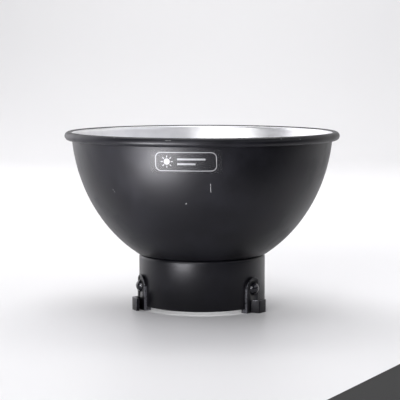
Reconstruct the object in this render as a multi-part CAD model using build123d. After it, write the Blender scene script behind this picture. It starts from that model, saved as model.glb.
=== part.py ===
from build123d import *
import math
import os

# Studio flash reflector: a spun bowl riveted to a short mount collar with three bayonet lugs.
# The axis of the reflector is Z, the mouth faces +Z, and it stands on the floor z = 0.
# Lengths are millimetres. Angles are degrees, counted from the front (-Y) towards +X.

# Mount collar
collar_outer_diameter = 98.0
collar_wall = 1.5
collar_height = 39.0
collar_shoulder_radius = 3.0
collar_edge_chamfer = 0.4
neck_opening_diameter = 79.0

# Bowl: the wall is part of an ellipse whose widest level lies above the mouth
bowl_widest_diameter = 202.0
bowl_widest_above_mouth = 10.0
bowl_height = 91.0
bowl_wall = 1.2
bowl_base_overhang = 1.3
bowl_base_bend_radius = 2.5
bead_radius = 3.3
bead_roll_angle = 300.0

# Rivets that hold the bowl on the collar's inward flange
neck_rivet_count = 6
neck_rivet_first_angle = 21.0
neck_rivet_shank_diameter = 3.2
neck_rivet_head_diameter = 5.4
neck_rivet_head_height = 1.3
neck_rivet_tail_diameter = 4.8
neck_rivet_tail_height = 1.1
rivet_hole_clearance = 0.05

# Bayonet lugs: a bent plate, a hook brazed on it, and a rivet through plate, collar and washer
lug_names = ["right", "rear", "left"]
first_lug_angle = 51.0
lug_plate_thickness = 2.0
lug_plate_width = 16.4
lug_plate_corner_radius = 8.0
lug_plate_above_rivet = 8.4
lug_plate_edge_chamfer = 0.5
foot_thickness = 3.0
foot_reach = 3.2

hook_stand_off = 6.1
hook_strip_thickness = 2.5
hook_height = 9.8
hook_root_angle = -4.6
hook_corner_angle = -1.7
hook_end_angle = 7.2
hook_bend_radius = 0.8

lug_rivet_height = 18.3
lug_rivet_shank_diameter = 5.0
lug_rivet_head_diameter = 9.4
lug_rivet_head_height = 3.4
lug_rivet_tail_diameter = 7.4
lug_rivet_tail_height = 1.6
lug_washer_diameter = 11.0
lug_washer_thickness = 1.0
spot_face_clearance = 0.1

# Label: clear film with a printed outline and a plain lamp mark, which has no lettering
label_angle = -6.75
label_film_length = 52.0
label_film_height = 17.4
label_film_corner_radius = 2.0
label_film_thickness = 0.1
label_below_bead = 1.6
label_outline_length = 44.2
label_outline_height = 13.6
label_outline_radius = 4.0
label_line_width = 0.5
label_print_thickness = 0.05
mark_bar_height = 1.3
mark_bar_lengths = [20.0, 13.0]
mark_bar_spacing = 3.4
mark_bar_start = -6.0
mark_disc_radius = 2.2
mark_disc_shift = -13.5
mark_ray_count = 8
mark_ray_length = 1.5
mark_ray_width = 0.6
mark_ray_gap = 0.7

# Places and radii that follow from the sizes above
full_turn = 360.0
half_turn = full_turn / 2
quarter_turn = full_turn / 4
collar_radius = collar_outer_diameter / 2
collar_bore_radius = collar_radius - collar_wall
neck_opening_radius = neck_opening_diameter / 2
collar_bottom = foot_thickness
collar_top = collar_bottom + collar_height
flange_underside = collar_top - collar_wall
bowl_base_top = collar_top + bowl_wall
mouth_height = collar_top + bowl_height
widest_height = mouth_height + bowl_widest_above_mouth
widest_radius = bowl_widest_diameter / 2
base_radius = collar_radius + bowl_base_overhang
wall_depth = (widest_height - collar_top) / math.sqrt(1 - (base_radius / widest_radius) ** 2)
flange_flat_radius = collar_radius - collar_shoulder_radius
neck_rivet_circle_radius = (neck_opening_radius + flange_flat_radius) / 2
plate_radius = collar_radius + lug_plate_thickness
plate_top = lug_rivet_height + lug_plate_above_rivet
hook_radius = plate_radius + hook_stand_off
foot_radius = collar_radius - foot_reach
head_radius = lug_rivet_head_diameter / 2
head_seat = math.sqrt(plate_radius**2 - head_radius**2)
washer_radius = lug_washer_diameter / 2
washer_seat = math.sqrt(collar_bore_radius**2 - washer_radius**2)
tail_seat = washer_seat - lug_washer_thickness
seat_radius = head_radius + spot_face_clearance
lug_angles = [first_lug_angle + full_turn / len(lug_names) * turn for turn in range(len(lug_names))]
neck_rivet_angles = [
    neck_rivet_first_angle + full_turn / neck_rivet_count * turn for turn in range(neck_rivet_count)
]
label_center_height = mouth_height - bead_radius - label_below_bead - label_film_height / 2


def turned_to(angle, shape):
    """A shape built facing +X, turned about the axis to this angle from the front."""
    return Rot(0, 0, angle - quarter_turn) * shape


def wall_radius(height, inset=0.0):
    """Radius of the curved wall at a height, on the surface this far inside the outer one."""
    drop = (widest_height - height) / (wall_depth - inset)
    return (widest_radius - inset) * math.sqrt(1 - drop**2)


def wall_arc(low, high, inset=0.0):
    """The curved wall's line from a low to a high level, in the plane of the axis."""
    across = widest_radius - inset
    deep = wall_depth - inset
    start = math.degrees(math.asin((low - widest_height) / deep))
    end = math.degrees(math.asin((high - widest_height) / deep))
    return EllipticalCenterArc((0, widest_height), across, deep, start, arc_size=end - start)


def spun(section):
    """A section drawn in radius and height, revolved about the axis."""
    return revolve(Plane.XZ * section, Axis.Z)


def dome(diameter, height):
    """A spherical cap standing on the XY plane, as on a round rivet head."""
    radius = diameter / 2
    cap = ThreePointArc((radius, 0), *cap_points(radius, height))
    section = make_face(cap + Polyline((0, height), (0, 0), (radius, 0)))
    return revolve(Plane.XZ * section, Axis.Z)


def cap_points(radius, height):
    """The middle and top points of a cap's arc of this base radius and height."""
    ball = (radius**2 + height**2) / (2 * height)
    half_angle = math.asin(radius / ball) / 2
    middle = (ball * math.sin(half_angle), height - ball * (1 - math.cos(half_angle)))
    return [middle, (0, height)]


def reflector_bowl():
    """Spun sheet bowl: flat base, curved wall and a rim rolled outwards into a hollow bead."""
    outer_mouth = wall_radius(mouth_height)
    inner_mouth = wall_radius(mouth_height, bowl_wall)
    sheet = outer_mouth - inner_mouth
    bead_center = (inner_mouth + bead_radius, mouth_height)
    outer = wall_arc(collar_top, mouth_height)
    inner = wall_arc(bowl_base_top, mouth_height, bowl_wall)
    roll_in = CenterArc(bead_center, bead_radius - sheet, half_turn, -bead_roll_angle)
    roll_out = CenterArc(bead_center, bead_radius, half_turn, -bead_roll_angle)
    base_inner = (neck_opening_radius, bowl_base_top)
    base_outer = (neck_opening_radius, collar_top)
    base = Polyline(inner @ 0, base_inner, base_outer, outer @ 0)
    section = make_face([base, outer, roll_in, Line(roll_in @ 1, roll_out @ 1), roll_out, inner])
    outer_bend = section.vertices().sort_by_distance(outer @ 0)[0]
    section = fillet(outer_bend, bowl_base_bend_radius + bowl_wall)
    inner_bend = section.vertices().sort_by_distance(inner @ 0)[0]
    section = fillet(inner_bend, bowl_base_bend_radius)
    return spun(section) - neck_rivet_holes()


def mount_collar():
    """Drawn collar: a short tube with a rounded shoulder and an inward flange under the bowl."""
    line = FilletPolyline(
        (collar_radius, collar_bottom),
        (collar_radius, collar_top),
        (neck_opening_radius, collar_top),
        radius=collar_shoulder_radius,
    )
    back = FilletPolyline(
        (neck_opening_radius, flange_underside),
        (collar_bore_radius, flange_underside),
        (collar_bore_radius, collar_bottom),
        radius=collar_shoulder_radius - collar_wall,
    )
    section = make_face([line, Line(line @ 1, back @ 0), back, Line(back @ 1, line @ 0)])
    edge = section.vertices().sort_by(Axis.Y)[:2]
    section = chamfer(edge, collar_edge_chamfer)
    collar = spun(section) - neck_rivet_holes()
    for angle in lug_angles:
        collar -= turned_to(angle, lug_rivet_hole())
    return collar


def neck_rivet_holes():
    """The holes through the bowl's base and the collar's flange, as one cutting shape."""
    radius = neck_rivet_shank_diameter / 2 + rivet_hole_clearance
    depth = bowl_base_top - flange_underside
    hole = Pos(neck_rivet_circle_radius, 0, flange_underside + depth / 2) * Cylinder(radius, depth * 2)
    return [turned_to(angle, hole) for angle in neck_rivet_angles]


def neck_rivets():
    """The rivets between bowl and collar, head inside the bowl and formed tail in the neck."""
    depth = bowl_base_top - flange_underside
    shank = Pos(0, 0, flange_underside + depth / 2) * Cylinder(neck_rivet_shank_diameter / 2, depth)
    head = Pos(0, 0, bowl_base_top) * dome(neck_rivet_head_diameter, neck_rivet_head_height)
    tail = dome(neck_rivet_tail_diameter, neck_rivet_tail_height)
    tail = Pos(0, 0, flange_underside) * Rot(half_turn, 0, 0) * tail
    rivet = Pos(neck_rivet_circle_radius, 0, 0) * (shank + head + tail)
    return [turned_to(angle, rivet) for angle in neck_rivet_angles]


def along_lug_rivet(shape, distance):
    """A shape built up the Z axis, laid along the lug rivet with its foot at this radius."""
    return Pos(distance, 0, lug_rivet_height) * Rot(0, 90, 0) * shape


def lug_rivet_hole():
    """The hole for one lug rivet, from inside the collar to outside the plate."""
    radius = lug_rivet_shank_diameter / 2 + rivet_hole_clearance
    length = hook_radius - tail_seat
    hole = Pos(0, 0, length / 2) * Cylinder(radius, length)
    return along_lug_rivet(hole, tail_seat)


def lug_plate():
    """Bent steel plate: curved on the collar, round at its top corners, foot under the edge."""
    outline = Rectangle(lug_plate_width, plate_top, align=(Align.CENTER, Align.MIN))
    corners = outline.vertices().sort_by(Axis.Y)[-2:]
    outline = fillet(corners, lug_plate_corner_radius)
    front = extrude(Plane.YZ * outline, hook_radius)
    upright = extrude(Circle(plate_radius) - Circle(collar_radius), plate_top) & front
    edges = upright.faces().sort_by(lambda face: face.center().X)[-1].edges()
    bevelled = [edge for edge in edges if edge.center().Z > lug_plate_edge_chamfer]
    upright = chamfer(bevelled, lug_plate_edge_chamfer)
    foot = extrude(Circle(collar_radius) - Circle(foot_radius), foot_thickness) & front
    seat_cut = Pos(0, 0, hook_radius / 2) * Cylinder(seat_radius, hook_radius)
    return (upright + foot) - along_lug_rivet(seat_cut, head_seat) - lug_rivet_hole()


def polar(radius, angle):
    """Plan position at a radius and an angle from the lug's own centre line (+X)."""
    return Vector(radius * math.cos(math.radians(angle)), radius * math.sin(math.radians(angle)))


def lug_hook():
    """Folded strip brazed on the plate: a slanting web, then an outer leg round the collar."""
    root = polar(collar_radius, hook_root_angle)
    corner = polar(hook_radius, hook_corner_angle)
    run = (corner - root).normalized()
    across = Vector(-run.Y, run.X) * hook_strip_thickness
    web = make_face(Polyline(root, corner, corner + across, root + across, close=True))
    leg_ring = Circle(hook_radius) - Circle(hook_radius - hook_strip_thickness)
    reach = hook_radius * 2
    side = polar(reach, hook_corner_angle)
    end = polar(reach, hook_end_angle)
    sector = make_face(Polyline((0, 0), side, end, close=True))
    plan = web + (leg_ring & sector) - Circle(plate_radius)
    hook = extrude(plan, hook_height)
    bend = hook.edges().filter_by(Axis.Z).sort_by_distance(corner)[0]
    return fillet(bend, hook_bend_radius)


def lug_rivet():
    """Round-head rivet: head in the plate's spot face, shank, and a tail on the washer."""
    length = head_seat - tail_seat
    shank = Pos(0, 0, length / 2) * Cylinder(lug_rivet_shank_diameter / 2, length)
    head = Pos(0, 0, length) * dome(lug_rivet_head_diameter, lug_rivet_head_height)
    tail = Rot(half_turn, 0, 0) * dome(lug_rivet_tail_diameter, lug_rivet_tail_height)
    return along_lug_rivet(shank + head + tail, tail_seat)


def lug_washer():
    """Flat backing washer between the collar's bore and the rivet's tail."""
    hole = lug_rivet_shank_diameter / 2 + rivet_hole_clearance
    disc = extrude(Circle(washer_radius) - Circle(hole), lug_washer_thickness)
    return along_lug_rivet(disc, tail_seat)


def label_sheet(inner_gap, thickness, outline):
    """A thin sheet on the bowl's wall, as far off it as the gap, cut to an outline seen square."""
    low = label_center_height - label_film_height
    near = wall_arc(low, mouth_height, -inner_gap)
    far = wall_arc(low, mouth_height, -inner_gap - thickness)
    section = make_face([near, Line(near @ 1, far @ 1), far, Line(far @ 0, near @ 0)])
    placed = Plane.YZ * (Pos(0, label_center_height) * outline)
    return turned_to(label_angle, spun(section) & extrude(placed, widest_radius))


def seen_square(arc_length):
    """Straight width of a strip of this length round the wall at the label's height."""
    radius = wall_radius(label_center_height)
    return 2 * radius * math.sin(arc_length / radius / 2)


def label_film():
    """Clear film stuck on the bowl's wall under the rim."""
    width = seen_square(label_film_length)
    outline = RectangleRounded(width, label_film_height, label_film_corner_radius)
    return label_sheet(0.0, label_film_thickness, outline)


def label_print():
    """White print on the film: a rounded outline, two bars and a lamp disc with rays."""
    width = seen_square(label_outline_length)
    inner_width = width - label_line_width * 2
    inner_height = label_outline_height - label_line_width * 2
    inner_radius = label_outline_radius - label_line_width
    outside = RectangleRounded(width, label_outline_height, label_outline_radius)
    inside = RectangleRounded(inner_width, inner_height, inner_radius)
    ink = [outside - inside]
    for row, length in enumerate(mark_bar_lengths):
        bar = Pos(length / 2, 0) * Rectangle(length, mark_bar_height)
        ink.append(Pos(mark_bar_start, mark_bar_spacing / 2 - mark_bar_spacing * row) * bar)
    ink.append(Pos(mark_disc_shift, 0) * Circle(mark_disc_radius))
    ray_middle = mark_disc_radius + mark_ray_gap + mark_ray_length / 2
    ray = Pos(ray_middle, 0) * Rectangle(mark_ray_length, mark_ray_width)
    for turn in range(mark_ray_count):
        ray_angle = full_turn / mark_ray_count * turn
        ink.append(Pos(mark_disc_shift, 0) * Rot(0, 0, ray_angle) * ray)
    return [label_sheet(label_film_thickness, label_print_thickness, shape) for shape in ink]


def save(name, shape):
    """Write one sub-part's STEP file; a list of shapes is a group of solids in one node."""
    pieces = shape if isinstance(shape, list) else [shape]
    solids = [solid for piece in pieces for solid in piece.solids()]
    body = solids[0] if len(solids) == 1 else Compound(children=solids)
    body.label = name
    export_step(body, f"parts/{name}.step")


def main():
    """Build every sub-part and write it to its own file."""
    os.makedirs("parts", exist_ok=True)
    save("reflector_bowl", reflector_bowl())
    save("mount_collar", mount_collar())
    save("neck_rivets", neck_rivets())
    for name, angle in zip(lug_names, lug_angles):
        save(f"lug_plate_{name}", turned_to(angle, lug_plate()))
        save(f"lug_hook_{name}", turned_to(angle, lug_hook()))
        save(f"lug_rivet_{name}", turned_to(angle, lug_rivet()))
        save(f"lug_washer_{name}", turned_to(angle, lug_washer()))
    save("label_film", label_film())
    save("label_print", label_print())


main()
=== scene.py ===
"""Studio flash reflector: a black spun bowl, silver inside, on a collar with three bayonet lugs.

Lengths are metres in the part's frame: +Z points to the mouth, -Y to the side with the label, and the
floor is at z = 0.
"""

import logging
import math
from dataclasses import dataclass, field
from enum import Enum
from typing import Callable, Sequence

import bmesh
import bpy
from mathutils import Matrix, Vector


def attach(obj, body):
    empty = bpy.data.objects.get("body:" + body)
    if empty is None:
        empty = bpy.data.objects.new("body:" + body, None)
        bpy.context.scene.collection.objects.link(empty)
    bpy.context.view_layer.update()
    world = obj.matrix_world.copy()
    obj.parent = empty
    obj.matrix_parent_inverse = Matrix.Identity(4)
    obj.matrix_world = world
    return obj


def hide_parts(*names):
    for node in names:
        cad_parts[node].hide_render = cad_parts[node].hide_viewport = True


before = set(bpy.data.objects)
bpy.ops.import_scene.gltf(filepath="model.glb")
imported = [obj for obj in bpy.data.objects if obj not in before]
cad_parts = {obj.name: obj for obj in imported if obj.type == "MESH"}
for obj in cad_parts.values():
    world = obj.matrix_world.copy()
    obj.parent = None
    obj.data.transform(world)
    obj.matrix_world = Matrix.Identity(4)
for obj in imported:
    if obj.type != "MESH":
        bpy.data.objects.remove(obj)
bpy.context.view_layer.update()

MM = 0.001
FULL_TURN = 2.0 * math.pi
TOUCH_ROUNDS = 6
SHARP_TURN = 40.0
POLE_RADIUS = 1e-9
log = logging.getLogger("reflector")

Point2 = tuple[float, float]
Point3 = tuple[float, float, float]
Range = tuple[float, float]
Color = tuple[float, float, float, float]
Socket = bpy.types.NodeSocket
Stroke = tuple[Vector, Vector, float]
Loop = list[bmesh.types.BMVert]
WHOLE: Range = (0.0, 1.0)


class Slot(Enum):
    """Material slots of the record, which the log names for each piece."""

    BLACK_PAINT = "black_paint"
    BLACK_STEEL = "black_steel"
    RIVET_BLACK = "rivet_black"
    ZINC_STEEL = "zinc_steel"
    BARE_ALUMINIUM = "bare_aluminium"
    CLEAR_FILM = "clear_film"
    WHITE_INK = "white_ink"


class NodeSheet:
    """A material's node tree, with short calls for the nodes that the finishes share."""

    CORE = 0.4

    def __init__(self, name: str) -> None:
        """Start an empty node material.

        Args:
            name: the material's name.
        """
        self.material = bpy.data.materials.new(name)
        self.material.use_nodes = True
        self.tree = self.material.node_tree
        self.tree.nodes.clear()
        self.output = self.tree.nodes.new("ShaderNodeOutputMaterial")
        self.shader = self.tree.nodes.new("ShaderNodeBsdfPrincipled")
        self.tree.links.new(self.shader.outputs["BSDF"], self.output.inputs["Surface"])
        self.position = self.tree.nodes.new("ShaderNodeTexCoord").outputs["Object"]

    def link(self, value: Socket | float | Sequence[float], target: Socket) -> None:
        """Connect a socket to an input, or set the input to a constant.

        Args:
            value: an output socket, a number or a vector.
            target: the input that receives it.
        """
        if isinstance(value, bpy.types.NodeSocket):
            self.tree.links.new(value, target)
        else:
            target.default_value = value

    def math(self, operation: str, *values: Socket | float, clamp: bool = False) -> Socket:
        """Join values with one math node.

        Args:
            operation: the node's operation, such as MULTIPLY.
            values: its inputs.
            clamp: whether the result is kept between 0 and 1.

        Returns:
            The node's output.
        """
        node = self.tree.nodes.new("ShaderNodeMath")
        node.operation = operation
        node.use_clamp = clamp
        for target, value in zip(node.inputs, values):
            self.link(value, target)
        return node.outputs[0]

    def vector(self, operation: str, *values: Socket | Sequence[float]) -> bpy.types.Node:
        """Join vectors with one vector math node.

        Args:
            operation: the node's operation, such as SUBTRACT.
            values: its inputs.

        Returns:
            The node, whose outputs are Vector and Value.
        """
        node = self.tree.nodes.new("ShaderNodeVectorMath")
        node.operation = operation
        for target, value in zip(node.inputs, values):
            self.link(value, target)
        return node

    def noise(
        self, size: float, detail: float = 3.0, rough: float = 0.5, where: Socket | None = None
    ) -> Socket:
        """Fractal noise whose features are about this size.

        Args:
            size: the size of its largest features, in metres.
            detail: how many finer octaves it has.
            rough: how strong the finer octaves are.
            where: the position it reads, or None for the piece's own.

        Returns:
            The noise's value.
        """
        node = self.tree.nodes.new("ShaderNodeTexNoise")
        self.link(self.position if where is None else where, node.inputs["Vector"])
        node.inputs["Scale"].default_value = 1.0 / size
        node.inputs["Detail"].default_value = detail
        node.inputs["Roughness"].default_value = rough
        return node.outputs["Fac"]

    def remap(self, value: Socket, source: Range, result: Range = WHOLE) -> Socket:
        """Stretch a range of values smoothly onto another, and hold it at both ends.

        Args:
            value: the value to map.
            source: the range that is stretched.
            result: what its two ends become.

        Returns:
            The mapped value.
        """
        node = self.tree.nodes.new("ShaderNodeMapRange")
        node.interpolation_type = "SMOOTHSTEP"
        self.link(value, node.inputs["Value"])
        for name, number in zip(("From Min", "From Max", "To Min", "To Max"), source + result):
            node.inputs[name].default_value = number
        return node.outputs["Result"]

    def blend(self, share: Socket | float, first: Color | Socket, second: Color | Socket) -> Socket:
        """Mix two colours.

        Args:
            share: how much of the second colour shows.
            first: the first colour.
            second: the second colour.

        Returns:
            The mixed colour.
        """
        node = self.tree.nodes.new("ShaderNodeMix")
        node.data_type = "RGBA"
        self.link(share, node.inputs[0])
        self.link(first, node.inputs[6])
        self.link(second, node.inputs[7])
        return node.outputs[2]

    def bump(self, height: Socket, depth: float) -> Socket:
        """Turn a height into a surface normal.

        Args:
            height: the height, from 0 to 1.
            depth: how deep the relief is, in metres.

        Returns:
            The bumped normal.
        """
        node = self.tree.nodes.new("ShaderNodeBump")
        node.inputs["Strength"].default_value = 1.0
        node.inputs["Distance"].default_value = depth
        self.link(height, node.inputs["Height"])
        return node.outputs["Normal"]

    def around_axis(self, stretch: float) -> Socket:
        """Position in radius and height about the axis, drawn out along the turn.

        Args:
            stretch: how much of the position round the axis is kept, 0 for perfect rings.

        Returns:
            The position as a vector.
        """
        split = self.tree.nodes.new("ShaderNodeSeparateXYZ")
        self.link(self.position, split.inputs[0])
        squares = [self.math("POWER", split.outputs[axis], 2.0) for axis in (0, 1)]
        radius = self.math("SQRT", self.math("ADD", *squares))
        turn = self.math("MULTIPLY", self.math("ARCTAN2", split.outputs[1], split.outputs[0]), stretch)
        joined = self.tree.nodes.new("ShaderNodeCombineXYZ")
        for target, value in zip(joined.inputs, (radius, turn, split.outputs[2])):
            self.link(value, target)
        return joined.outputs[0]

    def near_line(self, start: Vector, end: Vector, width: float) -> Socket:
        """A mask that is 1 on a short stroke and fades to 0 at its edge.

        Args:
            start: one end of the stroke.
            end: the other end.
            width: half the stroke's width, in metres.

        Returns:
            The mask.
        """
        run = end - start
        away = self.vector("SUBTRACT", self.position, start).outputs["Vector"]
        along = self.vector("DOT_PRODUCT", away, run).outputs["Value"]
        share = self.math("MULTIPLY", along, 1.0 / run.length_squared, clamp=True)
        scale = self.vector("SCALE", run)
        self.link(share, scale.inputs["Scale"])
        rest = self.vector("SUBTRACT", away, scale.outputs["Vector"]).outputs["Vector"]
        distance = self.vector("LENGTH", rest).outputs["Value"]
        return self.remap(distance, (width * self.CORE, width), (1.0, 0.0))

    def finish(self, inputs: dict[str, Socket | float | Sequence[float]]) -> bpy.types.Material:
        """Set the shader's inputs.

        Args:
            inputs: a socket or a constant for each input, by its name.

        Returns:
            The finished material.
        """
        for name, value in inputs.items():
            self.link(value, self.shader.inputs[name])
        return self.material


@dataclass(frozen=True)
class BlackEnamel:
    """Satin black enamel: orange peel, a haze of handling, fine dust and a few bare nicks."""

    name: str = "black_enamel"
    color: Color = (0.0022, 0.0022, 0.0034, 1.0)
    haze_color: Color = (0.0044, 0.0044, 0.0066, 1.0)
    chip_color: Color = (0.22, 0.22, 0.23, 1.0)
    roughness: float = 0.37
    haze_roughness: float = 0.45
    fine_roughness: float = 0.06
    gloss: float = 1.35
    sheen: Color = (0.95, 0.94, 1.0, 1.0)
    peel_size: float = 1.6 * MM
    peel_depth: float = 0.006 * MM
    haze_size: float = 34.0 * MM
    haze_range: Range = (0.42, 0.68)
    dust_size: float = 0.55 * MM
    dust_range: Range = (0.74, 0.79)
    dusty_range: Range = (0.45, 0.6)
    dusty_share: Range = (0.1, 0.8)
    dust_strength: float = 0.25
    break_range: Range = (0.3, 0.55)
    break_share: Range = (0.35, 1.0)
    strokes: tuple[Stroke, ...] = ()

    def nicks(self, sheet: NodeSheet) -> Socket:
        """Mask of the bare nicks, broken up along their length.

        Args:
            sheet: the material's node tree.

        Returns:
            The mask.
        """
        bare: Socket | float = 0.0
        for start, end, width in self.strokes:
            bare = sheet.math("MAXIMUM", bare, sheet.near_line(start, end, width))
        broken = sheet.remap(sheet.noise(self.dust_size * 1.5), self.break_range, self.break_share)
        return sheet.math("MULTIPLY", bare, broken)

    def build(self) -> bpy.types.Material:
        """Make the material.

        Returns:
            The finished material.
        """
        sheet = NodeSheet(self.name)
        haze = sheet.remap(sheet.noise(self.haze_size, 5.0, 0.6), self.haze_range)
        dust = sheet.remap(sheet.noise(self.dust_size, 2.0), self.dust_range)
        dusty = sheet.remap(sheet.noise(self.haze_size / 2), self.dusty_range, self.dusty_share)
        specks = sheet.math("MULTIPLY", sheet.math("MULTIPLY", dust, dusty), self.dust_strength)
        color = sheet.blend(haze, self.color, self.haze_color)
        color = sheet.blend(specks, color, self.chip_color)
        if self.strokes:
            color = sheet.blend(self.nicks(sheet), color, self.chip_color)
        fine = sheet.math("MULTIPLY", sheet.noise(self.peel_size / 5, 4.0), self.fine_roughness)
        rough = sheet.remap(haze, WHOLE, (self.roughness, self.haze_roughness))
        return sheet.finish({
            "Base Color": color,
            "Roughness": sheet.math("ADD", rough, fine),
            "IOR": self.gloss,
            "Specular Tint": self.sheen,
            "Normal": sheet.bump(sheet.noise(self.peel_size, 2.0), self.peel_depth),
        })


@dataclass(frozen=True)
class WornEdge:
    """Enamel rubbed thin along an edge, with grey steel showing through in patches."""

    name: str = "worn_edge"
    paint: Color = (0.012, 0.012, 0.014, 1.0)
    metal: Color = (0.14, 0.14, 0.16, 1.0)
    wear_size: float = 2.2 * MM
    wear_range: Range = (0.34, 0.54)
    bareness: float = 0.7
    roughness: Range = (0.36, 0.30)
    grain_depth: float = 0.01 * MM

    def build(self) -> bpy.types.Material:
        """Make the material.

        Returns:
            The finished material.
        """
        sheet = NodeSheet(self.name)
        worn = sheet.remap(sheet.noise(self.wear_size, 4.0, 0.65), self.wear_range)
        return sheet.finish({
            "Base Color": sheet.blend(worn, self.paint, self.metal),
            "Metallic": sheet.math("MULTIPLY", worn, self.bareness),
            "Roughness": sheet.remap(worn, WHOLE, self.roughness),
            "Normal": sheet.bump(sheet.noise(self.wear_size / 4, 3.0), self.grain_depth),
        })


@dataclass(frozen=True)
class SatinSilver:
    """Bright satin aluminium with the fine rings that the spinning tool leaves."""

    name: str = "satin_silver"
    color: Color = (0.93, 0.93, 0.945, 1.0)
    dull: Color = (0.83, 0.83, 0.85, 1.0)
    roughness: float = 0.34
    ring_roughness: float = 0.10
    ring_size: float = 0.7 * MM
    ring_depth: float = 0.004 * MM
    ring_stretch: float = 0.0004
    cloud_size: float = 24.0 * MM
    cloud_range: Range = (0.4, 0.65)

    def build(self) -> bpy.types.Material:
        """Make the material.

        Returns:
            The finished material.
        """
        sheet = NodeSheet(self.name)
        rings = sheet.noise(self.ring_size, 3.0, 0.6, sheet.around_axis(self.ring_stretch))
        cloud = sheet.remap(sheet.noise(self.cloud_size, 4.0), self.cloud_range)
        rough = sheet.math("MULTIPLY", rings, self.ring_roughness)
        return sheet.finish({
            "Base Color": sheet.blend(cloud, self.color, self.dull),
            "Metallic": 1.0,
            "Roughness": sheet.math("ADD", self.roughness, rough),
            "Normal": sheet.bump(rings, self.ring_depth),
        })


@dataclass(frozen=True)
class PlainMetal:
    """A small metal part: one colour with mottled roughness and a fine surface."""

    name: str
    color: Color
    roughness: float
    metallic: float = 1.0
    mottle_size: float = 2.0 * MM
    mottle: float = 0.12
    darker: float = 0.75
    grain_depth: float = 0.004 * MM

    def build(self) -> bpy.types.Material:
        """Make the material.

        Returns:
            The finished material.
        """
        sheet = NodeSheet(self.name)
        mottle = sheet.noise(self.mottle_size, 4.0, 0.6)
        dark = tuple(channel * self.darker for channel in self.color[:3]) + (1.0,)
        rough = sheet.math("MULTIPLY", mottle, self.mottle)
        return sheet.finish({
            "Base Color": sheet.blend(mottle, self.color, dark),
            "Metallic": self.metallic,
            "Roughness": sheet.math("ADD", self.roughness, rough),
            "Normal": sheet.bump(sheet.noise(self.mottle_size / 4, 3.0), self.grain_depth),
        })


@dataclass(frozen=True)
class ClearFilm:
    """Clear glossy label film, a little dulled by handling."""

    name: str = "clear_film"
    color: Color = (0.020, 0.020, 0.023, 1.0)
    dulled: Color = (0.045, 0.045, 0.050, 1.0)
    roughness: float = 0.40
    scuff: float = 0.10
    scuff_size: float = 3.0 * MM
    scuff_range: Range = (0.45, 0.7)
    shine: float = 1.45
    cover: float = 0.12

    def build(self) -> bpy.types.Material:
        """Make the material.

        Returns:
            The finished material.
        """
        sheet = NodeSheet(self.name)
        dull = sheet.remap(sheet.noise(self.scuff_size, 5.0, 0.7), self.scuff_range)
        rough = sheet.math("MULTIPLY", dull, self.scuff)
        return sheet.finish({
            "Base Color": sheet.blend(dull, self.color, self.dulled),
            "Roughness": sheet.math("ADD", self.roughness, rough),
            "IOR": self.shine,
            "Alpha": self.cover,
        })


@dataclass(frozen=True)
class WhiteInk:
    """Thin white screen print, slightly uneven."""

    name: str = "white_ink"
    color: Color = (0.22, 0.22, 0.235, 1.0)
    thin: Color = (0.17, 0.17, 0.18, 1.0)
    uneven_size: float = 1.1 * MM
    uneven_range: Range = (0.4, 0.7)
    roughness: Range = (0.42, 0.6)
    relief: float = 0.003 * MM

    def build(self) -> bpy.types.Material:
        """Make the material.

        Returns:
            The finished material.
        """
        sheet = NodeSheet(self.name)
        uneven = sheet.remap(sheet.noise(self.uneven_size, 4.0, 0.7), self.uneven_range)
        return sheet.finish({
            "Base Color": sheet.blend(uneven, self.color, self.thin),
            "Roughness": sheet.remap(uneven, WHOLE, self.roughness),
            "Normal": sheet.bump(uneven, self.relief),
        })


@dataclass(frozen=True)
class StudioPaper:
    """Pale studio sweep: matte white paper with a faint sheen."""

    name: str = "studio_paper"
    color: Color = (0.83, 0.825, 0.835, 1.0)
    darker: float = 0.975
    roughness: float = 0.42
    cloud_size: float = 0.5

    def build(self) -> bpy.types.Material:
        """Make the material.

        Returns:
            The finished material.
        """
        sheet = NodeSheet(self.name)
        tint = tuple(channel * self.darker for channel in self.color[:3]) + (1.0,)
        return sheet.finish({
            "Base Color": sheet.blend(sheet.noise(self.cloud_size), self.color, tint),
            "Roughness": self.roughness,
        })


def polar(radius: float, degrees: float, height: float = 0.0) -> Vector:
    """Point at a radius, an angle from the front towards +X, and a height."""
    angle = math.radians(degrees - 90.0)
    return Vector((radius * math.cos(angle), radius * math.sin(angle), height))


def arc_points(center: Point2, radius: float, start: float, end: float, steps: int) -> list[Point2]:
    """Points along an arc about a centre, in equal spans from one angle to another, in degrees."""
    angles = [math.radians(start + (end - start) * step / steps) for step in range(steps + 1)]
    return [(center[0] + radius * math.cos(a), center[1] + radius * math.sin(a)) for a in angles]


def new_object(name: str, shape: bmesh.types.BMesh, sharp: float = 35.0) -> bpy.types.Object:
    """Make an object from a finished bmesh, smooth apart from its sharp edges.

    Args:
        name: the piece's name.
        shape: the mesh, which is freed.
        sharp: edges that turn by more than this many degrees stay sharp.

    Returns:
        The new object, in the scene.
    """
    bmesh.ops.recalc_face_normals(shape, faces=shape.faces)
    mesh = bpy.data.meshes.new(name)
    shape.to_mesh(mesh)
    shape.free()
    mesh.shade_smooth()
    mesh.set_sharp_from_angle(angle=math.radians(sharp))
    piece = bpy.data.objects.new(name, mesh)
    bpy.context.scene.collection.objects.link(piece)
    return piece


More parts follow.
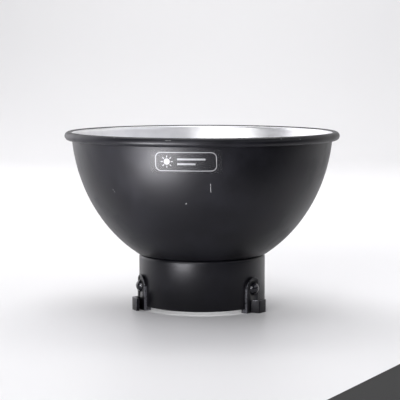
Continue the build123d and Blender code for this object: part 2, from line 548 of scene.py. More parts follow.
def lathe(name: str, outline: Sequence[Point2], segments: int, sharp: float = 35.0) -> bpy.types.Object:
    """Revolve a closed outline about the Z axis.

    Args:
        name: the piece's name.
        outline: radius and height of each corner, without repeating the first. One at radius 0 is a pole.
        segments: how many facets the turn has.
        sharp: edges that turn by more than this many degrees stay sharp.

    Returns:
        The revolved piece.
    """
    shape = bmesh.new()
    rings: list[Loop] = []
    for radius, height in outline:
        if radius < POLE_RADIUS:
            rings.append([shape.verts.new((0.0, 0.0, height))] * segments)
            continue
        turn = [FULL_TURN * step / segments for step in range(segments)]
        rings.append([shape.verts.new((radius * math.cos(a), radius * math.sin(a), height)) for a in turn])
    for low, high in zip(rings, rings[1:] + rings[:1]):
        if low[0] is low[1] and high[0] is high[1]:
            continue
        for step in range(segments):
            after = (step + 1) % segments
            corners = [low[step], low[after], high[after], high[step]]
            shape.faces.new(list(dict.fromkeys(corners)))
    return new_object(name, shape, sharp)


def bridge(shape: bmesh.types.BMesh, first: Loop, second: Loop) -> None:
    """Join two closed loops of points with a band of faces.

    Args:
        shape: the mesh.
        first: one loop.
        second: the other loop, with as many points.
    """
    for step in range(len(first)):
        after = (step + 1) % len(first)
        shape.faces.new((first[step], first[after], second[after], second[step]))


def dress(piece: bpy.types.Object, slot: Slot, nodes: Sequence[str], *finishes: bpy.types.Material) -> None:
    """Give a piece its materials and its body, hide the CAD nodes it stands for and log its record slot.

    Args:
        piece: the piece.
        slot: the record's material slot.
        nodes: the CAD nodes that it replaces.
        finishes: the materials, in slot order.
    """
    kept = [polygon.material_index for polygon in piece.data.polygons]
    piece.data.materials.clear()
    for finish in finishes:
        piece.data.materials.append(finish)
    piece.data.polygons.foreach_set("material_index", kept)
    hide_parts(*nodes)
    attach(piece, "root")
    log.info("%s: %d faces, finish %s", piece.name, len(piece.data.polygons), slot.value)


@dataclass
class MountCollar:
    """The short drawn collar under the bowl, with a rounded shoulder and an inward flange."""

    radius: float = 49.0 * MM
    wall: float = 1.5 * MM
    shoulder: float = 3.0 * MM
    bottom: float = 3.0 * MM
    top: float = 42.0 * MM
    opening: float = 39.5 * MM
    lip: float = 0.4 * MM
    segments: int = 192
    outer_steps: int = 10
    inner_steps: int = 8

    def outline(self) -> list[Point2]:
        """Section of the collar.

        Returns:
            Radius and height of its points.
        """
        bend = self.shoulder - self.wall
        inner = self.radius - self.wall
        middle = (self.radius - self.shoulder, self.top - self.shoulder)
        outer_bend = arc_points(middle, self.shoulder, 0, 90, self.outer_steps)
        inner_bend = arc_points((inner - bend, self.top - self.wall - bend), bend, 90, 0, self.inner_steps)
        flange = [(self.opening, self.top), (self.opening, self.top - self.wall)]
        foot = [(inner, self.bottom + self.lip), (inner + self.lip, self.bottom)]
        edge = [(self.radius - self.lip, self.bottom), (self.radius, self.bottom + self.lip)]
        return edge + outer_bend + flange + inner_bend + foot

    def build(self, enamel: bpy.types.Material) -> None:
        """Make the collar in this enamel."""
        piece = lathe("mount_collar_shell", self.outline(), self.segments, sharp=50.0)
        dress(piece, Slot.BLACK_PAINT, ["mount_collar"], enamel)


@dataclass
class ReflectorBowl:
    """The spun bowl: a silver sheet with a flat base and a rolled rim, and its coat of black enamel."""

    collar: MountCollar
    widest_radius: float = 101.0 * MM
    widest_above_mouth: float = 10.0 * MM
    height: float = 91.0 * MM
    wall: float = 1.2 * MM
    overhang: float = 1.3 * MM
    base_bend: float = 2.5 * MM
    bead_radius: float = 3.28 * MM
    bead_roll: float = 300.0
    paint: float = 0.06 * MM
    paint_start: float = 48.0
    segments: int = 288
    wall_steps: int = 56
    wall_spread: float = 0.8
    bend_steps: int = 8
    lip_steps: int = 10
    sheet_steps: int = 40
    roll_steps: int = 44
    base: float = field(init=False)
    mouth: float = field(init=False)
    widest: float = field(init=False)
    depth: float = field(init=False)

    def __post_init__(self) -> None:
        """Work out the levels and the depth of the wall's ellipse."""
        self.base = self.collar.top
        self.mouth = self.base + self.height
        self.widest = self.mouth + self.widest_above_mouth
        start = (self.collar.radius + self.overhang) / self.widest_radius
        self.depth = (self.widest - self.base) / math.sqrt(1.0 - start * start)

    def wall_radius(self, height: float, inset: float = 0.0) -> float:
        """Radius of the curved wall at a height, this far inside its outer surface."""
        drop = (self.widest - height) / (self.depth - inset)
        return (self.widest_radius - inset) * math.sqrt(1.0 - drop * drop)

    def wall_slope(self, height: float) -> tuple[float, float]:
        """Outward normal of the wall.

        Args:
            height: the height at which it is taken.

        Returns:
            Its radial and vertical parts.
        """
        across = self.wall_radius(height) / self.widest_radius**2
        up = (height - self.widest) / self.depth**2
        size = math.hypot(across, up)
        return across / size, up / size

    def surface(self, degrees: float, height: float) -> Vector:
        """Point on the outer wall, at an angle from the front and a height."""
        return polar(self.wall_radius(height), degrees, height)

    def on_bead(self, degrees: float, turn: float) -> Vector:
        """Point on the rolled rim, at an angle from the front and this far round the roll."""
        radius, height = self.rolled(self.bead_radius, turn, turn, 1)[0]
        return polar(radius, degrees, height)

    def skin(self, inset: float, base_level: float) -> list[Point2]:
        """One surface of the sheet from the base's hole to the mouth.

        Args:
            inset: how far inside the outer surface.
            base_level: height of the flat base on this surface.

        Returns:
            Radius and height of points from the hole up to the mouth.
        """
        bend = self.base_bend + self.wall - inset
        touch = base_level + bend
        for _ in range(TOUCH_ROUNDS):
            out, up = self.wall_slope(touch)
            touch = base_level + bend * (1.0 + up)
        angle = math.degrees(math.atan2(up, out))
        center = (self.wall_radius(touch, inset) - bend * out, base_level + bend)
        turn = arc_points(center, bend, -90.0, angle, self.bend_steps)
        shares = [(step / self.wall_steps) ** self.wall_spread for step in range(1, self.wall_steps + 1)]
        levels = [touch + (self.mouth - touch) * share for share in shares]
        return [(self.collar.opening, base_level)] + turn + [(self.wall_radius(z, inset), z) for z in levels]

    def rolled(self, radius: float, start: float, end: float, steps: int) -> list[Point2]:
        """Part of the rim's roll, at a radius from its middle and between two turns in degrees."""
        middle = (self.wall_radius(self.mouth, self.wall) + self.bead_radius, self.mouth)
        return arc_points(middle, radius, 180.0 - start, 180.0 - end, steps)

    def rolled_sheet(self, paint: float) -> list[Point2]:
        """Outline of the roll from the inner surface, over the lip and back to the wall outside.

        Args:
            paint: thickness of the coat that is left free outside.

        Returns:
            Radius and height of the points.
        """
        thick = self.wall_radius(self.mouth, paint) - self.wall_radius(self.mouth, self.wall)
        top = self.rolled(self.bead_radius, 0.0, self.paint_start, self.lip_steps)[1:]
        over = self.rolled(self.bead_radius - paint, self.paint_start, self.bead_roll, self.sheet_steps)
        under = self.rolled(self.bead_radius - thick, self.bead_roll, 0.0, self.roll_steps)[:-1]
        return top + over + under

    def sheet_outline(self) -> list[Point2]:
        """Section of the bare sheet, which leaves room for the coat of paint outside.

        Returns:
            Radius and height of its points.
        """
        inner = self.skin(self.wall, self.base + self.wall)
        outer = self.skin(self.paint, self.base + self.paint)
        return inner + self.rolled_sheet(self.paint) + outer[::-1]

    def paint_outline(self) -> list[Point2]:
        """Section of the coat of enamel on the roll, in the crevice behind it and down the wall.

        Returns:
            Radius and height of its points.
        """
        full = self.wall_radius(self.mouth) - self.wall_radius(self.mouth, self.wall)
        thick = self.wall_radius(self.mouth, self.paint) - self.wall_radius(self.mouth, self.wall)
        steps = self.roll_steps
        over = self.rolled(self.bead_radius, self.paint_start, self.bead_roll, steps)
        under = self.rolled(self.bead_radius - full, self.bead_roll, 0.0, steps)[:-1]
        outer = self.skin(0.0, self.base)[::-1]
        inner = self.skin(self.paint, self.base + self.paint)
        back_under = self.rolled(self.bead_radius - thick, 0.0, self.bead_roll, steps)[1:]
        back_over = self.rolled(self.bead_radius - self.paint, self.bead_roll, self.paint_start, steps)
        return over + under + outer + inner + back_under + back_over

    def build(self, silver: bpy.types.Material, enamel: bpy.types.Material) -> None:
        """Make the sheet and its paint.

        Args:
            silver: the bare metal inside.
            enamel: the paint outside.
        """
        sheet = lathe("bowl_sheet", self.sheet_outline(), self.segments, sharp=50.0)
        dress(sheet, Slot.BARE_ALUMINIUM, ["reflector_bowl"], silver)
        coat = lathe("bowl_paint", self.paint_outline(), self.segments, sharp=50.0)
        dress(coat, Slot.BLACK_PAINT, ["reflector_bowl"], enamel)


def dome_outline(radius: float, height: float, steps: int = 10) -> list[Point2]:
    """Outline of a spherical cap from its edge to its pole.

    Args:
        radius: radius of the cap's edge.
        height: height of the cap.
        steps: how many spans it is divided into.

    Returns:
        Radius and height of the points, with the edge at height 0.
    """
    ball = (radius**2 + height**2) / (2.0 * height)
    start = math.degrees(math.asin((ball - height) / ball))
    points = arc_points((0.0, height - ball), ball, start, 90.0, steps)
    return points[:-1] + [(0.0, height)]


def rivet_outline(shank: float, head: Point2, tail: Point2, low: float, high: float) -> list[Point2]:
    """Outline of a rivet along its own axis.

    Args:
        shank: radius of the shank.
        head: radius and height of the round head.
        tail: radius and height of the formed tail.
        low: where the tail is seated.
        high: where the head is seated.

    Returns:
        Radius and height of the points, from the tail's pole to the head's.
    """
    foot = [(radius, low - height) for radius, height in dome_outline(*tail)][::-1]
    top = [(radius, high + height) for radius, height in dome_outline(*head)]
    return foot + [(shank, low), (shank, high)] + top


@dataclass
class NeckRivets:
    """Aluminium rivets through the bowl's base and the collar's flange."""

    bowl: ReflectorBowl
    circle: float = 42.75 * MM
    count: int = 6
    first_angle: float = 21.0
    shank: float = 1.6 * MM
    head: Point2 = (2.7 * MM, 1.3 * MM)
    tail: Point2 = (2.4 * MM, 1.1 * MM)
    segments: int = 32

    def build(self, metal: bpy.types.Material) -> None:
        """Make the rivets, one piece each.

        Args:
            metal: their finish.
        """
        low = self.bowl.base - self.bowl.collar.wall
        high = self.bowl.base + self.bowl.wall
        outline = rivet_outline(self.shank, self.head, self.tail, low, high)
        for number in range(self.count):
            rivet = lathe(f"neck_rivet_{number + 1}", outline, self.segments)
            place = polar(self.circle, self.first_angle + 360.0 / self.count * number)
            rivet.data.transform(Matrix.Translation(place))
            dress(rivet, Slot.BARE_ALUMINIUM, ["neck_rivets"], metal)


@dataclass(frozen=True)
class LugFinishes:
    """The materials of one bayonet lug."""

    plate: bpy.types.Material
    edge: bpy.types.Material
    rivet: bpy.types.Material
    washer: bpy.types.Material


@dataclass
class BayonetLug:
    """One lug: a bent plate with a foot, a hook brazed on it, a round-head rivet and its washer."""

    name: str
    angle: float
    collar: MountCollar
    thickness: float = 2.0 * MM
    width: float = 16.4 * MM
    corner: float = 8.0 * MM
    above_rivet: float = 8.4 * MM
    foot_reach: float = 3.2 * MM
    edge: float = 0.5 * MM
    inner_edge: float = 0.2 * MM
    rivet_height: float = 18.3 * MM
    shank: float = 2.5 * MM
    head: Point2 = (4.7 * MM, 3.4 * MM)
    tail: Point2 = (3.7 * MM, 1.6 * MM)
    hole_gap: float = 0.05 * MM
    seat_gap: float = 0.1 * MM
    washer_radius: float = 5.5 * MM
    washer_thickness: float = 1.0 * MM
    stand_off: float = 6.1 * MM
    strip: float = 2.5 * MM
    hook_height: float = 9.8 * MM
    root_angle: float = -4.6
    corner_angle: float = -1.7
    end_angle: float = 7.2
    bend: float = 0.8 * MM
    fold: tuple[Point2, Point2] = ((0.35, 0.12), (0.10, 0.45))
    leg_steps: int = 8
    hook_edge: float = 0.25 * MM
    washer_edge: float = 0.15 * MM
    corner_steps: int = 9
    top_steps: int = 6
    segments: int = 48

    @property
    def plate_radius(self) -> float:
        """Outer radius of the plate."""
        return self.collar.radius + self.thickness

    @property
    def plate_top(self) -> float:
        """Height of the plate's top edge."""
        return self.rivet_height + self.above_rivet

    @property
    def head_seat(self) -> float:
        """Distance from the axis to the flat under the rivet's head."""
        return math.sqrt(self.plate_radius**2 - self.head[0] ** 2)

    @property
    def tail_seat(self) -> float:
        """Distance from the axis to the washer's inner face."""
        bore = self.collar.radius - self.collar.wall
        return math.sqrt(bore**2 - self.washer_radius**2) - self.washer_thickness

    def turned(self) -> Matrix:
        """The turn from facing +X to the lug's own angle."""
        return Matrix.Rotation(math.radians(self.angle - 90.0), 4, "Z")

    def along_rivet(self, distance: float) -> Matrix:
        """Placement that lays a shape built up the Z axis along the rivet, this far from the axis."""
        laid = Matrix.Rotation(math.radians(90.0), 4, "Y")
        return self.turned() @ Matrix.Translation((distance, 0.0, self.rivet_height)) @ laid

    def column_places(self) -> list[Point2]:
        """Columns of the plate, closer together at its round corners.

        Returns:
            Sideways place and top height of each.
        """
        half = self.width / 2.0
        flat = half - self.corner
        corner = arc_points((flat, self.plate_top - self.corner), self.corner, 0.0, 90.0, self.corner_steps)
        right = corner[::-1]
        shares = [step / self.top_steps for step in range(1, self.top_steps)]
        middle = [(-flat + 2.0 * flat * share, self.plate_top) for share in shares]
        left = [(-across, top) for across, top in corner]
        return left + middle + right

    def plate_section(self, top: float) -> list[Point2]:
        """Section of the plate and its foot.

        Args:
            top: height of the column's top.

        Returns:
            Radius and height of its points.
        """
        inner = self.collar.radius
        tip = inner - self.foot_reach
        foot = self.collar.bottom
        outside = [(self.plate_radius, 0.0), (self.plate_radius, top)]
        return outside + [(inner, top), (inner, foot), (tip, foot), (tip, 0.0)]

    def build_plate(self, finishes: LugFinishes) -> None:
        """Make the plate with its foot, its worn bevel, the rivet's seat and hole.

        Args:
            finishes: the lug's materials.
        """
        shape = bmesh.new()
        loops = []
        for across, top in self.column_places():
            loop = []
            for radius, height in self.plate_section(top):
                loop.append(shape.verts.new((math.sqrt(radius**2 - across**2), across, height)))
            loops.append(loop)
        for near, far in zip(loops, loops[1:]):
            bridge(shape, near, far)
        for side in (loops[0][::-1], loops[-1]):
            shape.faces.new(side).material_index = 1
        bmesh.ops.recalc_face_normals(shape, faces=shape.faces)
        round_edges(shape, self.edge, self.is_outer_edge)
        round_edges(shape, self.inner_edge, lambda edge: True)
        piece = new_object(f"lug_plate_{self.name}_body", shape)
        piece.data.transform(self.turned())
        cut_round(piece, self.head[0] + self.seat_gap, self.along_rivet(self.head_seat), self.stand_off)
        cut_round(piece, self.shank + self.hole_gap, self.along_rivet(self.tail_seat), self.stand_off * 2.0)
        dress(piece, Slot.BLACK_STEEL, [f"lug_plate_{self.name}"], finishes.plate, finishes.edge)

    def is_outer_edge(self, edge: bmesh.types.BMEdge) -> bool:
        """Whether an edge lies on the plate's outer face, above its foot.

        Args:
            edge: the edge.

        Returns:
            True if it does.
        """
        ends = [math.hypot(vert.co.x, vert.co.y) for vert in edge.verts]
        outside = all(abs(radius - self.plate_radius) < self.edge / 10 for radius in ends)
        return outside and any(vert.co.z > self.edge for vert in edge.verts)

    def hook_plan(self) -> list[Point2]:
        """Plan of the hook: a slanting web from the plate and a leg that follows the collar.

        Returns:
            The corners of the plan.
        """
        outer = self.plate_radius + self.stand_off
        root = flat_polar(self.collar.radius, self.root_angle)
        corner = flat_polar(outer, self.corner_angle)
        run = (corner - root).normalized()
        across = Vector((-run.y, run.x)) * self.strip
        near = on_circle(root, run, self.plate_radius)
        far = on_circle(root + across, run, self.plate_radius)
        inner = on_circle(root + across, run, outer - self.strip)
        leg_start = math.degrees(math.atan2(corner.y, corner.x))
        lead = math.degrees(self.bend / outer)
        (back_off, side), (sink, turn) = self.fold
        fold = [corner - run * self.bend]
        fold.append(corner - run * self.bend * back_off + Vector((0.0, self.bend * side)))
        fold.append(flat_polar(outer - self.bend * sink, leg_start + lead * turn))
        leg = self.leg_curve(outer, leg_start + lead, self.end_angle)
        inside = math.degrees(math.atan2(inner.y, inner.x))
        return [near] + fold + leg + self.leg_curve(outer - self.strip, self.end_angle, inside) + [far]

    def leg_curve(self, radius: float, start: float, end: float) -> list[Vector]:
        """Plan points round the axis, at a radius and between two angles."""
        shares = [step / self.leg_steps for step in range(self.leg_steps + 1)]
        return [flat_polar(radius, start + (end - start) * share) for share in shares]

    def build_hook(self, finishes: LugFinishes) -> None:
        """Make the hook.

        Args:
            finishes: the lug's materials.
        """
        shape = bmesh.new()
        plan = self.hook_plan()
        low = [shape.verts.new((point.x, point.y, 0.0)) for point in plan]
        high = [shape.verts.new((point.x, point.y, self.hook_height)) for point in plan]
        shape.faces.new(low[::-1])
        shape.faces.new(high)
        bridge(shape, low, high)
        bmesh.ops.recalc_face_normals(shape, faces=shape.faces)
        round_edges(shape, self.hook_edge, lambda edge: True)
        piece = new_object(f"lug_hook_{self.name}_strip", shape)
        piece.data.transform(self.turned())
        dress(piece, Slot.BLACK_STEEL, [f"lug_hook_{self.name}"], finishes.plate, finishes.edge)

    def build_rivet(self, finishes: LugFinishes) -> None:
        """Make the rivet and its backing washer.

        Args:
            finishes: the lug's materials.
        """
        length = self.head_seat - self.tail_seat
        outline = rivet_outline(self.shank, self.head, self.tail, 0.0, length)
        rivet = lathe(f"lug_rivet_{self.name}_pin", outline, self.segments)
        rivet.data.transform(self.along_rivet(self.tail_seat))
        dress(rivet, Slot.RIVET_BLACK, [f"lug_rivet_{self.name}"], finishes.rivet)
        hole = self.shank + self.hole_gap
        soft = self.washer_edge
        section = [(hole, 0.0), (self.washer_radius - soft, 0.0), (self.washer_radius, soft)]
        section += [(self.washer_radius, self.washer_thickness), (hole, self.washer_thickness)]
        washer = lathe(f"lug_washer_{self.name}_disc", section, self.segments)
        washer.data.transform(self.along_rivet(self.tail_seat))
        dress(washer, Slot.ZINC_STEEL, [f"lug_washer_{self.name}"], finishes.washer)

    def build(self, finishes: LugFinishes) -> None:
        """Make the whole lug.

        Args:
            finishes: its materials.
        """
        self.build_plate(finishes)
        self.build_hook(finishes)
        self.build_rivet(finishes)


def flat_polar(radius: float, degrees: float) -> Vector:
    """Plan point at a radius and an angle from +X."""
    return Vector((radius * math.cos(math.radians(degrees)), radius * math.sin(math.radians(degrees))))


def on_circle(start: Vector, run: Vector, radius: float) -> Vector:
    """Where a line from inside a circle about the axis, with a direction of length 1, crosses it."""
    along = start.dot(run)
    return start + run * (math.sqrt(along**2 - start.length_squared + radius**2) - along)


def round_edges(shape: bmesh.types.BMesh, width: float, wanted: Callable[[bmesh.types.BMEdge], bool]) -> None:
    """Round the sharp edges that are wanted, and give the new faces the second material.

    Args:
        shape: the mesh.
        width: how far the rounding reaches from each edge.
        wanted: tells whether an edge is rounded.
    """
    limit = math.radians(SHARP_TURN)
    sharp = [edge for edge in shape.edges if edge.calc_face_angle(0.0) > limit and wanted(edge)]
    made = bmesh.ops.bevel(
        shape, geom=sharp, offset=width, segments=3, profile=0.6, affect="EDGES", clamp_overlap=True
    )
    for face in made["faces"]:
        face.material_index = 1


def cut_round(piece: bpy.types.Object, radius: float, place: Matrix, length: float) -> None:
    """Cut a round hole or seat into a piece.

    Args:
        piece: the piece.
        radius: the cutter's radius.
        place: placement of the cutter, which is built up the Z axis.
        length: how long the cutter is.
    """
    cutter = lathe("cutter", [(0.0, 0.0), (radius, 0.0), (radius, length), (0.0, length)], 64)
    cutter.data.transform(place)
    modifier = piece.modifiers.new("cut", "BOOLEAN")
    modifier.operation = "DIFFERENCE"
    modifier.solver = "EXACT"
    modifier.object = cutter
    graph = bpy.context.evaluated_depsgraph_get()
    mesh = bpy.data.meshes.new_from_object(piece.evaluated_get(graph))
    piece.modifiers.clear()
    piece.data = mesh
    bpy.data.objects.remove(cutter)


@dataclass
class BowlLabel:
    """A clear film on the bowl's wall with a white printed frame and a plain lamp mark."""

    bowl: ReflectorBowl
    angle: float = -6.75
    film_length: float = 52.0 * MM
    film_height: float = 17.4 * MM
    film_corner: float = 2.0 * MM
    film_thickness: float = 0.1 * MM
    below_bead: float = 1.6 * MM
    frame_length: float = 44.2 * MM
    frame_height: float = 13.6 * MM
    frame_corner: float = 4.0 * MM
    line: float = 0.5 * MM
    ink: float = 0.05 * MM
    bar_height: float = 1.3 * MM
    bar_lengths: tuple[float, ...] = (20.0 * MM, 13.0 * MM)
    bar_spacing: float = 3.4 * MM
    bar_start: float = -6.0 * MM
    disc_radius: float = 2.2 * MM
    disc_shift: float = -13.5 * MM
    ray_count: int = 8
    ray_length: float = 1.5 * MM
    ray_width: float = 0.6 * MM
    ray_gap: float = 0.7 * MM

    @property
    def middle(self) -> float:
        """Height of the label's middle."""
        return self.bowl.mouth - self.bowl.bead_radius - self.below_bead - self.film_height / 2.0

    def seen_square(self, length: float) -> float:
        """Straight width of a strip of this length round the wall."""
        radius = self.bowl.wall_radius(self.middle)
        return 2.0 * radius * math.sin(length / radius / 2.0)

    def on_wall(self, across: float, up: float, lift: float) -> Vector:
        """Point over the wall, from its place on the label seen square.

        Args:
            across: distance from the label's middle, towards +X.
            up: distance above the label's middle.
            lift: distance off the wall.

        Returns:
            The point, before the turn to the label's angle.
        """
        height = self.middle + up
        out, rise = self.bowl.wall_slope(height)
        radius = self.bowl.wall_radius(height) + lift * out
        return Vector((math.sqrt(radius**2 - across**2), across, height + lift * rise))

    def wrap(self, name: str, flat: bmesh.types.BMesh, low: float, high: float) -> bpy.types.Object:
        """Make a thin curved piece from a flat mesh of its outline.

        Args:
            name: the piece's name.
            flat: mesh in X (across) and Y (up), which is freed.
            low: lift of its underside.
            high: lift of its top.

        Returns:
            The piece, closed all round.
        """
        shape = bmesh.new()
        under = {vert: shape.verts.new(self.on_wall(vert.co.x, vert.co.y, low)) for vert in flat.verts}
        over = {vert: shape.verts.new(self.on_wall(vert.co.x, vert.co.y, high)) for vert in flat.verts}
        for face in flat.faces:
            shape.faces.new([over[vert] for vert in face.verts])
            shape.faces.new([under[vert] for vert in reversed(face.verts)])
        for edge in flat.edges:
            if edge.is_boundary:
                first, second = edge.verts
                shape.faces.new((under[first], under[second], over[second], over[first]))
        flat.free()
        piece = new_object(name, shape)
        piece.data.transform(Matrix.Rotation(math.radians(self.angle - 90.0), 4, "Z"))
        return piece

    def build(self, film: bpy.types.Material, ink: bpy.types.Material) -> None:
        """Make the film and every mark printed on it.

        Args:
            film: the clear film.
            ink: the white print.
        """
        sheet = rounded_patch(self.seen_square(self.film_length), self.film_height, self.film_corner)
        piece = self.wrap("label_film_sheet", sheet, 0.0, self.film_thickness)
        dress(piece, Slot.CLEAR_FILM, ["label_film"], film)
        frame_length = self.seen_square(self.frame_length)
        marks = {"frame": rounded_ring(frame_length, self.frame_height, self.frame_corner, self.line)}
        for row, length in enumerate(self.bar_lengths):
            level = self.bar_spacing / 2.0 - self.bar_spacing * row
            middle = (self.bar_start + length / 2.0, level)
            marks[f"bar_{row + 1}"] = patch(length, self.bar_height, middle, 0.0)
        marks["disc"] = disc(self.disc_radius, (self.disc_shift, 0.0))
        reach = self.disc_radius + self.ray_gap + self.ray_length / 2.0
        for turn in range(self.ray_count):
            angle = 360.0 / self.ray_count * turn
            place = flat_polar(reach, angle) + Vector((self.disc_shift, 0.0))
            marks[f"ray_{turn + 1}"] = patch(self.ray_length, self.ray_width, tuple(place), angle)
        for name, flat in marks.items():
            low = self.film_thickness
            piece = self.wrap(f"label_print_{name}", flat, low, low + self.ink)
            dress(piece, Slot.WHITE_INK, ["label_print"], ink)


def patch(
    length: float, height: float, middle: Point2, degrees: float, step: float = 1.0 * MM
) -> bmesh.types.BMesh:
    """Flat rectangle as a grid.

    Args:
        length: its length.
        height: its height.
        middle: its middle.
        degrees: how far it is turned.
        step: size of its squares along the length.

    Returns:
        The flat mesh.
    """
    shape = bmesh.new()
    bmesh.ops.create_grid(shape, x_segments=max(1, round(length / step)), y_segments=1, size=0.5)
    place = Matrix.Translation((*middle, 0.0)) @ Matrix.Rotation(math.radians(degrees), 4, "Z")
    bmesh.ops.transform(shape, matrix=place @ Matrix.Diagonal((length, height, 1.0, 1.0)), verts=shape.verts)
    return shape


def disc(radius: float, middle: Point2, segments: int = 32) -> bmesh.types.BMesh:
    """Flat disc, as a fan about its middle.

    Args:
        radius: its radius.
        middle: its middle.
        segments: how many sides it has.

    Returns:
        The flat mesh.
    """
    shape = bmesh.new()
    bmesh.ops.create_circle(shape, cap_ends=True, cap_tris=True, segments=segments, radius=radius)
    bmesh.ops.translate(shape, vec=(*middle, 0.0), verts=shape.verts)
    return shape


def rounded_patch(
    length: float, height: float, corner: float, rows: int = 12, columns: int = 30, bend_steps: int = 6
) -> bmesh.types.BMesh:
    """Flat rectangle with round corners, as columns of squares.

    Args:
        length: its length.
        height: its height.
        corner: radius of its corners.
        rows: how many squares each column has.
        columns: how many columns its straight part has.
        bend_steps: how many columns each round corner has.

    Returns:
        The flat mesh.
    """
    shape = bmesh.new()
    flat = length / 2.0 - corner
    bend = arc_points((flat, height / 2.0 - corner), corner, 0.0, 90.0, bend_steps)
    straight = [(flat - 2.0 * flat * step / columns, height / 2.0) for step in range(1, columns)]
    grid = []
    for across, up in bend + straight + [(-across, up) for across, up in reversed(bend)]:
        grid.append([shape.verts.new((across, -up + 2.0 * up * row / rows, 0.0)) for row in range(rows + 1)])
    for near, far in zip(grid, grid[1:]):
        for row in range(rows):
            shape.faces.new((near[row], far[row], far[row + 1], near[row + 1]))
    return shape


def rounded_ring(
    length: float,
    height: float,
    corner: float,
    line: float,
    bend_steps: int = 10,
    spans: Sequence[int] = (26, 6),
) -> bmesh.types.BMesh:
    """Flat outline of a rectangle with round corners.

    Args:
        length: its outer length.
        height: its outer height.
        corner: radius of its outer corners.
        line: width of the line.
        bend_steps: how many spans each round corner has.
        spans: how many spans a long and a short side have.

    Returns:
        The flat mesh.
    """
    shape = bmesh.new()
    across, up = length / 2.0 - corner, height / 2.0 - corner
    corners = [((across, up), 0.0), ((-across, up), 90.0), ((-across, -up), 180.0), ((across, -up), 270.0)]
    path: list[tuple[Point2, float]] = []
    for number, (middle, start) in enumerate(corners):
        path += [(middle, start + 90.0 * step / bend_steps) for step in range(bend_steps + 1)]
        after = corners[(number + 1) % len(corners)][0]
        count = spans[number % 2]
        for step in range(1, count):
            between = Vector(middle).lerp(Vector(after), step / count)
            path.append((tuple(between), start + 90.0))
    loops = []
    for radius in (corner, corner - line):
        turned = [flat_polar(radius, angle) + Vector(middle) for middle, angle in path]
        loops.append([shape.verts.new((point.x, point.y, 0.0)) for point in turned])
    bridge(shape, *loops)
    return shape


@dataclass(frozen=True)
class SoftLight:
    """A soft box: a flat rectangular light at a place, aimed at a point."""

    name: str
    place: Point3
    target: Point3
    width: float
    tall: float
    brightness: float
    color: Point3 = (1.0, 1.0, 1.0)

    def build(self) -> None:
        """Hang the light. Its power follows from its size, so that its face has this brightness."""
        data = bpy.data.lights.new(self.name, "AREA")
        data.shape = "RECTANGLE"
        data.size = self.width
        data.size_y = self.tall
        data.energy = self.brightness * math.pi * self.width * self.tall
        data.color = self.color
        light = bpy.data.objects.new(self.name, data)
        light.location = self.place
        away = Vector(self.place) - Vector(self.target)
        light.rotation_mode = "QUATERNION"
        light.rotation_quaternion = away.to_track_quat("Z", "Y")
        bpy.context.scene.collection.objects.link(light)


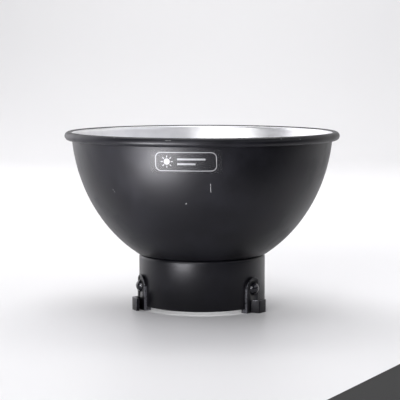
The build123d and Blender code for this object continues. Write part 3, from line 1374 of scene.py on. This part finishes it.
@dataclass
class Studio:
    """Pale sweep, soft lights, a pale room and the camera."""

    near: float = -1.6
    back: float = 1.5
    half_width: float = 2.6
    rise: float = 1.9
    bend: float = 0.8
    room: Color = (0.9, 0.92, 1.0, 1.0)
    bend_steps: int = 24
    room_strength: float = 0.05
    camera_distance: float = 1.052
    camera_height: float = 0.1888
    camera_tilt: float = 84.23
    camera_turn: float = 0.0885
    lens: float = 122.38
    flag: tuple[Point2, ...] = ((0.17, -0.14), (1.0, 0.0), (1.0, -0.95), (0.04, -0.95), (0.04, -0.36))
    flag_height: float = 0.002
    lights: tuple[SoftLight, ...] = (
        SoftLight("key_soft_box", (-0.55, -1.30, 0.66), (0.0, 0.0, 0.12), 1.3, 0.6, 5.0),
        SoftLight("low_card", (-0.268, -0.398, 0.025), (-0.218, -0.336, 1.0), 0.18, 0.40, 42.0),
        SoftLight("left_card", (-1.25, 0.75, 0.5), (0.0, 0.0, 0.1), 1.6, 1.3, 2.2, (0.98, 0.97, 1.0)),
        SoftLight("right_card", (1.35, 0.85, 0.5), (0.0, 0.0, 0.1), 1.2, 1.3, 0.9, (1.0, 0.98, 0.95)),
        SoftLight("right_panel", (1.3, -0.5, 0.9), (0.0, 0.0, 0.13), 2.0, 0.8, 1.3, (0.95, 0.96, 1.0)),
        SoftLight("back_soft_box", (0.0, 0.75, 1.5), (0.0, 0.1, 0.0), 1.5, 1.0, 2.6),
        SoftLight("top_soft_box", (0.0, -0.25, 1.6), (0.0, -0.1, 0.0), 0.8, 0.8, 3.0, (0.97, 0.97, 1.0)),
        SoftLight("backdrop_wash", (0.0, 0.9, 1.8), (0.0, 2.3, 0.5), 2.4, 0.8, 3.8),
    )

    def build_flag(self, cloth: bpy.types.Material) -> None:
        """Lay a black cloth on the table, in front on the right, that keeps the bowl's right side dark.

        Args:
            cloth: its finish.
        """
        shape = bmesh.new()
        shape.faces.new([shape.verts.new((across, along, self.flag_height)) for across, along in self.flag])
        cloth_piece = new_object("black_flag", shape)
        cloth_piece.data.materials.append(cloth)

    def build_sweep(self, paper: bpy.types.Material) -> None:
        """Lay the paper: a floor that curves up into the background.

        Args:
            paper: its finish.
        """
        curve = arc_points((self.back, self.bend), self.bend, -90.0, 0.0, self.bend_steps)
        line = [(self.near, 0.0)] + curve + [(self.back + self.bend, self.rise)]
        shape = bmesh.new()
        left = [shape.verts.new((-self.half_width, along, height)) for along, height in line]
        right = [shape.verts.new((self.half_width, along, height)) for along, height in line]
        for step in range(len(line) - 1):
            shape.faces.new((left[step], right[step], right[step + 1], left[step + 1]))
        sweep = new_object("studio_sweep", shape)
        sweep.data.materials.append(paper)

    def build_camera(self) -> None:
        """Set up the camera."""
        data = bpy.data.cameras.new("studio_camera")
        data.lens = self.lens
        camera = bpy.data.objects.new("studio_camera", data)
        camera.location = (0.0, -self.camera_distance, self.camera_height)
        camera.rotation_euler = (math.radians(self.camera_tilt), 0.0, math.radians(self.camera_turn))
        bpy.context.scene.collection.objects.link(camera)
        bpy.context.scene.camera = camera

    def build(self, paper: bpy.types.Material, cloth: bpy.types.Material) -> None:
        """Make the whole studio.

        Args:
            paper: finish of the sweep.
            cloth: finish of the flag.
        """
        scene = bpy.context.scene
        scene.view_settings.view_transform = "Standard"
        world = bpy.data.worlds.new("pale_room")
        world.use_nodes = True
        background = world.node_tree.nodes["Background"]
        background.inputs["Color"].default_value = self.room
        background.inputs["Strength"].default_value = self.room_strength
        scene.world = world
        for light in self.lights:
            light.build()
        self.build_sweep(paper)
        self.build_flag(cloth)
        self.build_camera()


def bowl_strokes(bowl: ReflectorBowl) -> tuple[Stroke, ...]:
    """The bowl's bare nicks: a scratch, a dot and a faint scuff on the wall, and four on the rim.

    Args:
        bowl: the bowl.

    Returns:
        The two ends and half the width of each nick.
    """
    return (
        (bowl.surface(3.6, 103.4 * MM), bowl.surface(3.8, 97.4 * MM), 0.30 * MM),
        (bowl.surface(-7.2, 89.0 * MM), bowl.surface(-7.4, 88.6 * MM), 0.55 * MM),
        (bowl.surface(-44.5, 97.0 * MM), bowl.surface(-43.6, 94.8 * MM), 0.16 * MM),
        (bowl.on_bead(-37.0, 128.0), bowl.on_bead(-36.6, 130.0), 0.30 * MM),
        (bowl.on_bead(-14.0, 150.0), bowl.on_bead(-12.0, 152.0), 0.16 * MM),
        (bowl.on_bead(32.0, 140.0), bowl.on_bead(32.4, 142.0), 0.30 * MM),
        (bowl.on_bead(41.5, 155.0), bowl.on_bead(41.8, 160.0), 0.26 * MM),
    )


def main() -> None:
    """Build the reflector from its mount up, then the studio round it."""
    logging.basicConfig(level=logging.INFO, format="%(name)s %(message)s")
    collar = MountCollar()
    bowl = ReflectorBowl(collar)
    bare = PlainMetal("bare_aluminium", (0.70, 0.70, 0.72, 1.0), 0.34)
    collar.build(BlackEnamel(name="collar_enamel", roughness=0.31, haze_roughness=0.39).build())
    bowl.build(SatinSilver().build(), BlackEnamel(name="bowl_enamel", strokes=bowl_strokes(bowl)).build())
    NeckRivets(bowl).build(bare.build())
    rivet = BlackEnamel("rivet_enamel", roughness=0.14, haze_roughness=0.20, gloss=1.55, haze_size=4.0 * MM)
    finishes = LugFinishes(
        plate=BlackEnamel(name="lug_enamel", roughness=0.30, haze_size=9.0 * MM).build(),
        edge=WornEdge().build(),
        rivet=rivet.build(),
        washer=PlainMetal("zinc_washer", (0.60, 0.61, 0.64, 1.0), 0.36).build(),
    )
    for name, angle in (("right", 51.0), ("rear", 171.0), ("left", 291.0)):
        BayonetLug(name, angle, collar).build(finishes)
    BowlLabel(bowl).build(ClearFilm().build(), WhiteInk().build())
    cloth = StudioPaper(name="flag_cloth", color=(0.02, 0.02, 0.02, 1.0), roughness=0.9)
    Studio().build(StudioPaper().build(), cloth.build())


if __name__ == "__main__":
    main()
